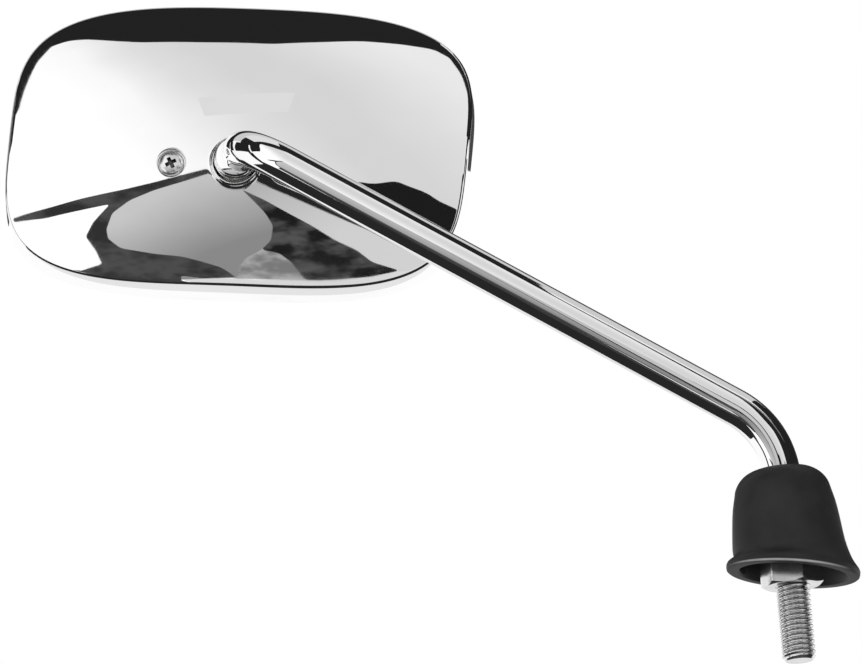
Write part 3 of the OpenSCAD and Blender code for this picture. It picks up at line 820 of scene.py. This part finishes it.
# %% Back screw
screw = bmesh.new()
SHANK_R, SHANK_END = 2.0, -9.4
CROSS_SIZE, CROSS_TAPER, CROSS_TURN, CROSS_Z = (5.4, 1.5, 4.0), (0.4, 0.6, 1), 0.5, 2.7
HEAD = [(HEAD_R - 0.15, 0.0), (HEAD_R, 0.2), (HEAD_R, 0.75), (3.7, 1.15), (3.3, 1.55), (2.7, 1.9),
        (1.9, 2.18), (1.0, 2.34), (0.4, 2.38)]
shank = [(SHANK_R, SHANK_END), (SHANK_R, SCREW_SEAT)]
loft(screw, 64, turned(shank + [(r, SCREW_SEAT + h) for r, h in HEAD], SCREW_AT))
for quarter in (0, 1):
    punch = bmesh.new()
    made = bmesh.ops.create_cube(punch, size=1.0)["verts"]
    bmesh.ops.scale(punch, vec=CROSS_SIZE, verts=made)
    bmesh.ops.scale(punch, vec=CROSS_TAPER, verts=[v for v in made if v.co.z < 0])
    quarter_turn = Matrix.Rotation(quarter * math.pi / 2 + CROSS_TURN, 3, "Z")
    bmesh.ops.rotate(punch, cent=(0, 0, 0), matrix=quarter_turn, verts=made)
    bmesh.ops.translate(punch, vec=(SCREW_AT.x, SCREW_AT.y, SCREW_SEAT + CROSS_Z), verts=made)
    screw = cut(screw, punch, "screw")
print("screw", len(screw.faces), "faces")

# %% [markdown]
# The screw's recess gets painted shade. Its faces are the ones near the axis that are steep
# or deep, and they get a second, dark material.

# %% Painted shade in the recess
RECESS_R, RECESS_LOW, RECESS_DEEP, STEEP = 1.75, 0.4, 1.6, 0.8
screw.normal_update()
for face in screw.faces:
    middle_at = face.calc_center_median()
    near_axis = (middle_at.to_2d() - SCREW_AT).length < RECESS_R
    inside = near_axis and middle_at.z > SCREW_SEAT + RECESS_LOW
    if inside and (face.normal.z < STEEP or middle_at.z < SCREW_SEAT + RECESS_DEEP):
        # Painted shade: these recess faces get the dark second material.
        face.material_index = 1
screw_piece = finish_piece(screw, "back_screw_head", HEAD_FRAME, SCREW_ZINC, "head",
                           ["back_screw"], 35)
screw_piece.data.materials.append(RECESS_SHADE)

# %% [markdown]
# ## Rubber boot
#
# The boot is a soft cone over the nut, moulded with a slanted base lip. Its rings are level at
# the top and tip over towards the lip, so the flare between them is one smooth surface. Inside,
# the rings come back up as the hollow that takes the nut.

# %% Boot
BOOT_TOP, BASE_Z, LIP_X, CONE_SHIFT = 34.6, LIP_Z, 0.45, -0.5
tilt = Matrix.Rotation(LIP_TURN, 3, "Y")
lean_turn = Matrix.Rotation(math.radians(-1.1), 3, "Y")


def boot_ring(r, h, tip=0.0):
    """A circle of the boot; tip says how far it shares the base's slant, from 0 to 1."""
    def place(a):
        flat = Vector((r * math.cos(a), r * math.sin(a), h))
        from_base = Vector((r * math.cos(a), r * math.sin(a), h - BASE_Z))
        return flat.lerp(tilt @ from_base + Vector((LIP_X, 0, BASE_Z)), tip)
    return place


def cone_ring(r, h, tip=0.0):
    """A circle of the outer cone, which leans about its top, on its way to the slanted lip."""
    straight, slanted = boot_ring(r, h), boot_ring(r, h, 1.0)
    def place(a):
        p = straight(a) + Vector((CONE_SHIFT * min(1, (r - 6) / 4), 0, -BOOT_TOP))
        return (lean_turn @ p + Vector((0, 0, BOOT_TOP))).lerp(slanted(a), tip)
    return place


def smooth(x):
    """A soft step from 0 to 1."""
    return x * x * (3 - 2 * x)


outer = [boot_ring(r, BOOT_TOP - below) for r, below in ((5.52, 4), (5.9, 0.4), (6.3, 0.05))]
outer += [cone_ring(6.2 + r * 1.04, BOOT_TOP + h * 1.07 - 8.2)
          for r, h in arc((0, 0), 7.66, 86, 20, 14)]
CONE = [(14.05, 27.6), (14.5, 25.8), (14.9, 24.0), (15.2, 22.2), (15.45, 20.4), (15.68, 18.4),
        (15.9, 16.4), (16.1, 14.4)]
outer += [cone_ring(r, h) for r, h in CONE]
FLARE = [(16.35, 8.6), (16.5, 7.4), (16.7, 6.3), (17.0, 5.3), (17.4, 4.4), (18.0, 3.6),
         (18.65, 2.9), (19.15, 2.3)]
outer += [cone_ring(r, BASE_Z + h, smooth((i + 1) / len(FLARE))) for i, (r, h) in enumerate(FLARE)]
LIP = [(19.39, 1.7), (19.39, 0.9), (19.25, 0.35), (18.9, 0.05), (18.5, 0.0), (17.2, 0.0)]
outer += [boot_ring(r, BASE_Z + h, 1.0) for r, h in LIP]
inner = [boot_ring(16.0, BASE_Z, 1.0), boot_ring(15.5, BASE_Z + 0.5, 1.0)]
inner += [boot_ring(14.8, 9.0, 0.3)]
HOLLOW = [(13.8, 12.5), (12.8, 17.0), (10.2, 24.2), (8.2, 26.4), (6.2, 26.6), (5.5, 26.9)]
inner += [boot_ring(r, h) for r, h in HOLLOW]
boot = bmesh.new()
loft(boot, 128, outer + inner, closed=True)
finish_piece(boot, "boot_rubber", ROW_FRAME, RUBBER, "boot_body", ["boot"], 45)

# %% [markdown]
# ## Lock nut
#
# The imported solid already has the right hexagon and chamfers. A copy of its mesh is merged and
# its long edges get the small round that plating leaves, which is what catches the light.

# %% Lock nut
nut = bmesh.new()
nut.from_mesh(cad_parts["lock_nut"].data)
bmesh.ops.scale(nut, vec=(1000, 1000, 1000), verts=nut.verts)
bmesh.ops.remove_doubles(nut, verts=nut.verts, dist=1e-3)
bmesh.ops.dissolve_limit(nut, angle_limit=math.radians(1.0), verts=nut.verts, edges=nut.edges)
corners = [e for e in nut.edges if len(e.link_faces) == 2
           and math.radians(50) < e.calc_face_angle(0)
           and abs(e.verts[0].co.z - e.verts[1].co.z) > 2]
bmesh.ops.bevel(nut, geom=corners, offset=0.3, offset_type="OFFSET", segments=3, profile=0.5,
                affect="EDGES", material=-1)
finish_piece(nut, "nut", ROW_FRAME, ZINC, "nut", ["lock_nut"], 25)

# %% [markdown]
# ## Mirror glass
#
# The glass is a thin slice between two spheres of 1.2 m radius, cut to the outline. A shallow
# curve like this shows every facet in its reflection, so it is lofted in many fine rings.

# %% Mirror glass
GLASS_R, GLASS_T, GLASS_FRONT = 1200.0, 2.0, FRONT_H + 0.4
HOLDER_PLAY, HOLDER_WALL, GLASS_PLAY = 0.3, 1.3, 0.1
GLASS_EDGE = DRAFT - WALL - HOLDER_PLAY - HOLDER_WALL - GLASS_PLAY


def on_glass(share, depth, d=GLASS_EDGE):
    """A ring on the glass: a share of its outline, this deep behind its front sphere."""
    def place(a):
        p = outline(d, a) * share
        h = GLASS_FRONT + GLASS_R - math.sqrt(GLASS_R ** 2 - p.length_squared)
        return Vector((p.x + CENTRE.x, p.y + CENTRE.y, h + depth))
    return place


steps = [0.02 + 0.98 * i / 24 for i in range(25)]
rings = [on_glass(s, 0.0) for s in steps[:-1]]
rings += [on_glass(0.994, 0.0), on_glass(0.999, 0.08), on_glass(1.0, 0.3)]
rings += [on_glass(1.0, GLASS_T - 0.1), on_glass(0.997, GLASS_T)]
rings += [on_glass(s, GLASS_T) for s in (0.7, 0.4, 0.05)]
glass = bmesh.new()
loft(glass, AROUND, [spread(r) for r in rings])
finish_piece(glass, "glass", HEAD_FRAME, MIRROR, "head", ["mirror_glass"], 30)

# %% [markdown]
# ## Solids that stay
#
# The holder, the foam pad and the ball joint's parts are hidden or nearly so, and their CAD
# shapes are right. They stay where they are and only get their finishes.

# %% Finishes of the CAD solids
KEPT = {"glass_holder": HOLDER_PLASTIC, "glass_pad": FOAM, "stem_ball": BALL_STEEL,
        "rear_liner": NYLON, "front_liner": NYLON, "clamp_plate": CLAMP_STEEL,
        "clamp_screws": YELLOW_ZINC, "spring_washers": SPRING_STEEL, "mirror_glass": MIRROR,
        "back_shell": CHROME, "stem": ROD_CHROME, "neck_collar": ROD_CHROME,
        "back_screw": SCREW_ZINC, "boot": RUBBER, "lock_nut": ZINC}
for name, material in KEPT.items():
    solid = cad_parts[name]
    solid.data.materials.clear()
    solid.data.materials.append(material)
print(len(KEPT), "solids dressed")

# %% [markdown]
# ## Studio
#
# The photograph has a white background and a bright room. The world is white, with a pale floor
# two metres below that takes the shadow.

# %% World and floor
FLOOR_Z, FLOOR_HALF = -2.0, 24
world = bpy.data.worlds.new("studio")
bpy.context.scene.world = world
world.use_nodes = True
world.node_tree.nodes["Background"].inputs["Color"].default_value = grey(1.0)
world.node_tree.nodes["Background"].inputs["Strength"].default_value = 1.0


def stage_object(bm, name, material):
    """An object of the studio, which doesn't belong to the mirror."""
    mesh = bpy.data.meshes.new(name)
    bm.to_mesh(mesh)
    bm.free()
    made = bpy.data.objects.new(name, mesh)
    bpy.context.scene.collection.objects.link(made)
    mesh.materials.append(material)
    made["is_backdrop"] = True
    return made


floor_material, tree, shader = new_material("floor_paper")
paper = noise(tree, place_on(tree), 3.0, 3.0)
plug(tree, shader.inputs["Base Color"], mix_colour(tree, paper, grey(0.84), grey(0.88)))
shader.inputs["Roughness"].default_value = 0.8
floor = bmesh.new()
made = bmesh.ops.create_grid(floor, x_segments=8, y_segments=8, size=FLOOR_HALF)["verts"]
bmesh.ops.translate(floor, verts=made, vec=(0, 0, FLOOR_Z))
floor = stage_object(floor, "floor", floor_material)
floor.visible_glossy = False
print("floor", FLOOR_Z, "m")

# %% [markdown]
# ## Cards for the chrome
#
# Chrome only looks like chrome when it has something dark to reflect, so cards stand around the
# mirror. They are seen by reflections only, never by the camera. A card is flat, faces the mirror
# and has one brightness, or one that fades or is clouded.

# %% Card helpers


def glow(name, level):
    """A material that shows one plain brightness, whatever lights it."""
    material = bpy.data.materials.new(name)
    material.use_nodes = True
    tree = material.node_tree
    tree.nodes.clear()
    light = tree.nodes.new("ShaderNodeEmission")
    light.inputs["Color"].default_value = grey(level)
    out = tree.nodes.new("ShaderNodeOutputMaterial")
    tree.links.new(light.outputs[0], out.inputs[0])
    return material


def only_reflected(made):
    """Hides a card from everything but reflections."""
    made.visible_camera = made.visible_diffuse = False
    made.visible_shadow = made.visible_transmission = False


def card(name, finish, y, corners, soft=0):
    """A flat card in front of the mirror, from its corners' (x, z) in millimetres."""
    bm = bmesh.new()
    points = [bm.verts.new((x * MM, y * MM, z * MM)) for x, z in corners]
    bm.faces.new(points)
    if soft:
        bmesh.ops.bevel(bm, geom=points, offset=soft * MM, segments=4, profile=0.5,
                        affect="VERTICES", offset_type="OFFSET", material=-1)
    if not isinstance(finish, bpy.types.Material):
        finish = glow(name, finish)
    only_reflected(stage_object(bm, name, finish))


def wall(name, level, low, high):
    """An upright or level card between two corners of a box that is flat one way."""
    bm = bmesh.new()
    made = bmesh.ops.create_cube(bm, size=1.0)["verts"]
    low, high = Vector(low) * MM, Vector(high) * MM
    bmesh.ops.scale(bm, vec=high - low, verts=made)
    bmesh.ops.translate(bm, vec=(low + high) / 2, verts=made)
    only_reflected(stage_object(bm, name, glow(name, level)))


def fade(name, stops, along, middle):
    """A glow whose brightness changes along a direction of the card's own coordinates."""
    material = glow(name, 1.0)
    tree = material.node_tree
    spot = node(tree, "ShaderNodeVectorMath", {"operation": "DOT_PRODUCT"},
                (place_on(tree), along), 1)
    wander = noise(tree, place_on(tree), 6.0, 2.0) * 0.06
    low, high = stops[0][0], stops[-1][0]
    ramp = [((at - low) / (high - low), grey(level)) for at, level in stops]
    share = (spot * 1000 + wander * 1000 - middle - low) / (high - low)
    tint = node(tree, "ShaderNodeValToRGB", {"stops": ramp}, (share,))
    tree.links.new(tint.socket, tree.nodes["Emission"].inputs["Color"])
    return material


def cloudy(name, low, high, scale):
    """A glow with soft blotches, like a room out of focus."""
    material = glow(name, low)
    tree = material.node_tree
    blotch = noise(tree, place_on(tree), scale, 3.0, 0.6).step(0.4, 0.62)
    tint = mix_colour(tree, blotch, grey(low), grey(high))
    tree.links.new(tint.socket, tree.nodes["Emission"].inputs["Color"])
    return material


BLACK = 0.016
print("card helpers ready, black is", BLACK)

# %% [markdown]
# The wall in front makes the dome's upper half: nearly white on the left, light grey on the
# right. The band over it is the black edge along the head's top, and its wavy rim is that line.

# %% Wall and band in front
LEFT_X, RIGHT_X, TOP_Z, LOW_Z, BACK_Y = -1000, 900, 800, -350, 900
FRONT_STOPS = [(-450, 1.08), (-330, 1.05), (-250, 0.98), (-200, 0.86), (-150, 0.76), (-80, 0.69),
               (0, 0.69), (80, 0.74), (150, 0.8), (240, 0.85)]
FRONT = fade("front_wall", FRONT_STOPS, (1, 0, 0.4), 160)
card("front_wall", FRONT, -306, [(-1000, -420), (1000, -420), (1000, 1000), (-1000, 1000)])
card("top_band", BLACK, -300,
     [(-1000, 300), (-480, 300), (-444, 400), (-441, 639), (-430, 745), (-402, 768), (-369, 756),
      (-309, 702), (-270, 672), (-171, 636), (-69, 612), (9, 633), (75, 657), (144, 660),
      (200, 650), (213, 600), (205, 500), (186, 378), (172, 300), (166, 250), (300, 250),
      (300, 700), (900, 700), (900, TOP_Z), (-1000, TOP_Z)], 12)
print("front wall fades from", FRONT_STOPS[0][1], "to", FRONT_STOPS[-1][1])

# %% [markdown]
# The other sides of the room give every outline its thin dark line. Where a wall ends matters:
# the rod's leg sees the side walls a little higher than the stud does, so the leg gets a black
# edge and the stud stays bright. A small light card over the neck opens the bend's highlight.

# %% Ceiling, side walls and back
wall("ceiling", BLACK, (LEFT_X, -310, TOP_Z), (300, 150, TOP_Z + 10))
wall("neck_reflector", 0.74, (-160, -10, 176), (-127, 10, 176.5))
wall("sky", 0.62, (-1600, -310, 1400), (1600, 1600, 1410))
wall("side_left", BLACK, (LEFT_X - 10, -240, 235), (LEFT_X, 350, TOP_Z))
wall("side_left_low", BLACK, (LEFT_X - 10, -300, -360), (LEFT_X, -140, 235))
wall("side_right", BLACK, (RIGHT_X, -310, 238), (RIGHT_X + 10, BACK_Y, 1390))
wall("side_right_low", BLACK, (RIGHT_X, -310, -360), (RIGHT_X + 10, 350, 165))
wall("crease_below", 0.02, (LEFT_X - 10, -306, LOW_Z - 2), (RIGHT_X + 10, 500, LOW_Z))
card("low_band", 0.02, -302.5, [(-1000, -420), (1000, -420), (1000, -215), (-1000, -215)])
card("right_side", BLACK, -299,
     [(135, -60), (190, -60), (215, 100), (900, 240), (900, 560), (222, 560), (222, 130),
      (140, 130)], 10)
wall("back_low", 0.8, (-700, BACK_Y, -900), (500, BACK_Y + 10, 50))
wall("back_rail", 0.06, (-700, BACK_Y, 330), (300, BACK_Y + 10, 1150))
wall("back_right", 0.03, (300, BACK_Y, 270), (RIGHT_X, BACK_Y + 10, 1150))
wall("back_left", 0.03, (-1400, BACK_Y - 10, 300), (-560, BACK_Y, 760))
card("side_grey", 0.3, -301, [(310, 560), (900, 560), (900, 700), (310, 700)])
print("room is", RIGHT_X - LEFT_X, "mm wide")

# %% [markdown]
# The dome's lower half shows a room in dark and grey fields. Each is one card, and the cards lie
# in layers: one with a greater y is nearer the mirror and covers those behind it.

# %% Cards for the dome's lower half
card("strip", 0.72, -305,
     [(-262, -137), (-234, -149), (-156, -165), (-99, -169), (-9, -165), (63, -141), (500, -141),
      (500, -420), (-262, -420)])
ROOM = cloudy("streak", 0.03, 0.075, 14.0)
card("streak", ROOM, -300,
     [(-500, 52), (-450, 72), (-399, 87), (-363, 99), (-327, 108), (-300, 114), (-261, 126),
      (-222, 141), (-192, 153), (-188, 142), (-225, 123), (-264, 105), (-297, 84), (-324, 54),
      (-339, 12), (-342, -15), (-330, -45), (-288, -66), (-252, -78), (-228, -96), (-205, -117),
      (-190, -150), (-234, -149), (-264, -137), (-276, -420), (-440, -420), (-430, -130),
      (-402, -108), (-366, -90), (-366, -48), (-372, -6), (-354, 33), (-324, 78), (-351, 72),
      (-390, 63), (-420, 55)], 6)
GREY_STOPS = [(-130, 0.64), (-40, 0.58), (30, 0.42), (110, 0.26)]
GREY = fade("grey_field", GREY_STOPS, (0.6, 0, -0.8), -150)
card("grey_field", GREY, -301,
     [(-297, 92), (-264, 112), (-225, 130), (-185, 155), (-165, 120), (-156, 90), (-147, 66),
      (-135, 30), (-129, -3), (-135, -42), (-150, -69), (-171, -90), (-184, -120), (-188, -150),
      (-352, -150), (-352, 20), (-335, 50)], 6)
DEEP = cloudy("under_rod", 0.012, 0.09, 16.0)
card("under_rod", DEEP, -302,
     [(-163, 100), (-147, 66), (-135, 30), (-129, -3), (-135, -42), (-150, -69), (-129, -78),
      (-114, -108), (-99, -168), (-63, -171), (-9, -165), (33, -147), (-6, -117), (-27, -78),
      (-54, -48), (-81, -6), (-108, 30), (-135, 68)], 8)
SHADE = fade("rod_shade", [(-150, 0.38), (-60, 0.52), (60, 0.66)], (0.8, 0, -0.6), -60)
card("rod_shade", SHADE, -303, [(-175, 112), (-30, 112), (130, -60), (70, -150), (-90, -150)])
PALE = cloudy("pale_patch", 0.2, 0.42, 20.0)
card("pale_patch", PALE, -304,
     [(-200, -155), (-186, -110), (-150, -60), (-120, -70), (-85, -100), (-70, -175)], 10)
card("right_dark", 0.012, -300,
     [(-40, 108), (-15, 108), (3, 102), (33, 111), (51, 96), (72, 81), (90, 57), (114, 36),
      (122, 21), (122, -33), (111, -72), (90, -57), (33, -12), (-3, 45)], 8)
print("studio ready")

# %% [markdown]
# ## Size
#
# The visual model has to stay in the CAD model's box, so its box is printed.

# %% Size
print("visual box", box_numbers())
